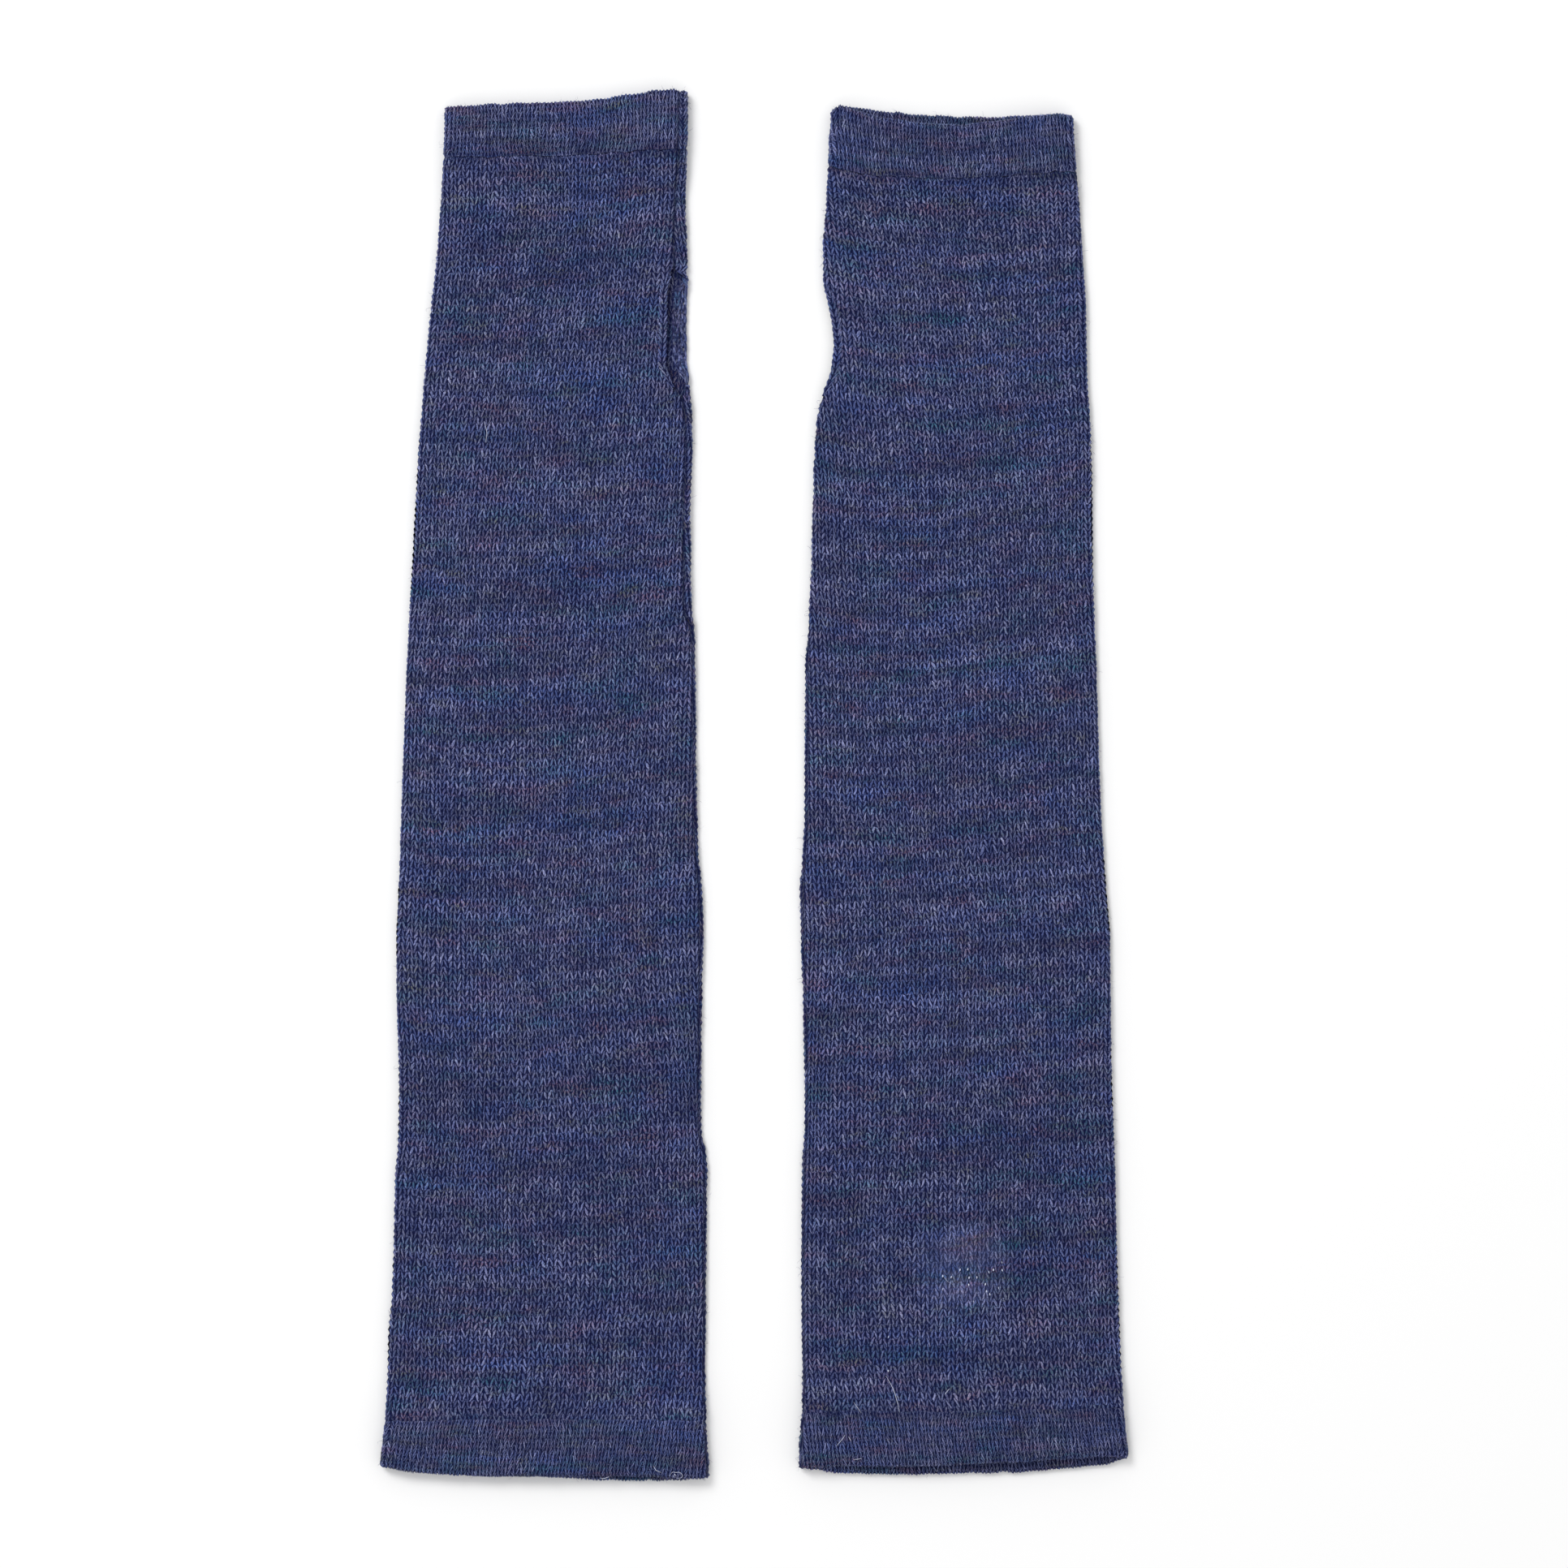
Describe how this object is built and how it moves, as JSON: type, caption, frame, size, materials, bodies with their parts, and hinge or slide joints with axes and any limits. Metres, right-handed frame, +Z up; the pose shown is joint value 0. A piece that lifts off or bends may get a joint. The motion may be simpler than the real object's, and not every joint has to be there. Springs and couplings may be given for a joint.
{
  "type": "pair of fingerless mittens",
  "caption": "Long fingerless mittens in plain jersey knit, laid flat side by side: tapered sleeves with an open thumb slit in the side seam and turned double hems at both ends.",
  "frame": {"origin": "middle of the pair on the surface it lies on, halfway between the two mittens and halfway along them", "axes": "+X from the left mitten to the right one as seen from above, +Y from the arm ends to the finger ends, +Z up from the surface"},
  "size_m": [0.2307, 0.4288, 0.0063],
  "materials": {
    "knit": "marled blue wool-blend plain knit",
    "hem": "the same knit, turned in double",
    "edging": "chain selvedge of the same yarn"
  },
  "bodies": {
    "root": {"left_front": "knit", "left_arm_hem_front": "hem", "left_finger_hem_front": "hem", "left_slit_edging_front": "edging", "left_back": "knit", "left_arm_hem_back": "hem", "left_finger_hem_back": "hem", "left_slit_edging_back": "edging", "right_front": "knit", "right_arm_hem_front": "hem", "right_finger_hem_front": "hem", "right_slit_edging_front": "edging", "right_back": "knit", "right_arm_hem_back": "hem", "right_finger_hem_back": "hem", "right_slit_edging_back": "edging"}
  },
  "joints": []
}
